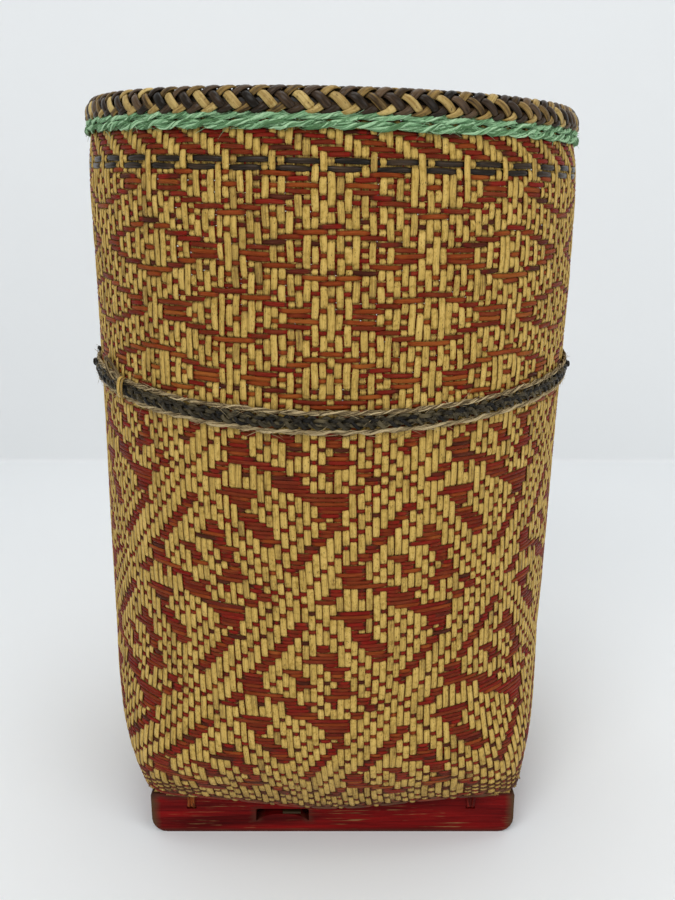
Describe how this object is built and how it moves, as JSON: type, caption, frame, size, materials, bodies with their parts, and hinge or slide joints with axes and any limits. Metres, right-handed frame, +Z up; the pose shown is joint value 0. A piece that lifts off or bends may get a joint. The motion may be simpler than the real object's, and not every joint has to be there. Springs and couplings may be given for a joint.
{
  "type": "dowry basket",
  "caption": "Tall open basket woven from natural and red splint, round at the mouth and square at the foot, with a plaited rim, a belt of cord and a foot of painted rails.",
  "frame": {"origin": "on the ground, under the middle of the basket", "axes": "+Z up towards the mouth, -Y towards the front with the slotted rail, +X to the front's right"},
  "size_m": [0.2738, 0.2736, 0.393],
  "materials": {
    "woven_splint": "natural straw-coloured stakes and red-dyed wefts, satin, aged",
    "floor_splint": "natural splint, matt, dusty",
    "rim_plait": "dark brown and natural gold rattan, glossy and worn",
    "hoop_rattan": "bare rattan, satin",
    "green_raffia": "mint green raffia cord, fuzzy",
    "dark_rattan": "black-brown rattan, glossy",
    "natural_cord": "natural fibre cord, matt",
    "red_paint": "split wood under worn red paint, brown at the ends",
    "red_splint": "red-dyed splint, satin"
  },
  "bodies": {
    "root": {"body_wall": "woven_splint", "floor_panel": "floor_splint", "rim_hoop_outer": "hoop_rattan", "rim_hoop_inner": "hoop_rattan", "rim_braid": "rim_plait", "green_cord_upper": "green_raffia", "green_cord_lower": "green_raffia", "dark_weft_upper": "dark_rattan", "dark_weft_lower": "dark_rattan", "belt_braid": "dark_rattan", "belt_cord_upper": "natural_cord", "belt_cord_lower": "natural_cord", "belt_stitch": "natural_cord", "belt_end_loop": "natural_cord", "belt_knot_left": "dark_rattan", "belt_knot_right": "dark_rattan", "slot_splint": "hoop_rattan", "front_rail": "red_paint", "front_lashing_1": "red_splint", "front_lashing_2": "red_splint", "front_lashing_3": "red_splint", "right_rail": "red_paint", "right_lashing_1": "red_splint", "right_lashing_2": "red_splint", "right_lashing_3": "red_splint", "back_rail": "red_paint", "back_lashing_1": "red_splint", "back_lashing_2": "red_splint", "back_lashing_3": "red_splint", "left_rail": "red_paint", "left_lashing_1": "red_splint", "left_lashing_2": "red_splint", "left_lashing_3": "red_splint"}
  },
  "joints": []
}
